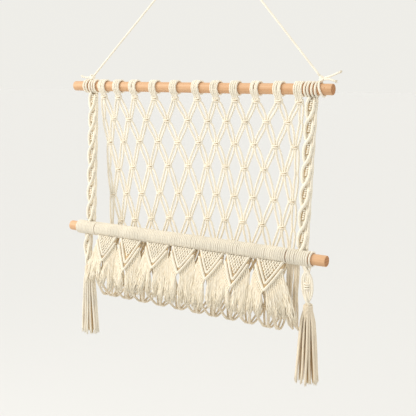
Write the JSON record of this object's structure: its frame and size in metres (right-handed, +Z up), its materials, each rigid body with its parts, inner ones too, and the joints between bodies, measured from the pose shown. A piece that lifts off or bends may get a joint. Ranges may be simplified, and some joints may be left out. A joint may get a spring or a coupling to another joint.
{
  "type": "macrame wall hanging with wooden rods",
  "caption": "Knotted cotton net hung between two wooden rods as a flat wall pocket, with fringed pointed flaps, side straps, tassels and a hanging cord.",
  "frame": {"origin": "the hanging point: the top of the hanging cord's bight, where it lies over its nail or hook", "axes": "+X to the right along the rods as seen from the front, +Y to the wall behind, +Z up"},
  "size_m": [0.461, 0.0707, 0.6084],
  "materials": {
    "wood": "sanded and left without a finish",
    "cotton": "undyed three-ply cotton cord",
    "hanger": "undyed three-ply cotton cord"
  },
  "bodies": {
    "root": {"top_rod": "wood", "front_rod": "wood", "hanging_cord": "hanger", "tie_left": "hanger", "tie_right": "hanger", "net": "cotton", "pocket_foot": "cotton", "pocket_front": "cotton", "pocket_hitches": "cotton", "flap_1": "cotton", "flap_2": "cotton", "flap_3": "cotton", "flap_4": "cotton", "flap_5": "cotton", "flap_6": "cotton", "flap_7": "cotton", "strap_left": "cotton", "strap_right": "cotton", "tassel_left": "cotton", "tassel_right": "cotton"}
  },
  "joints": []
}
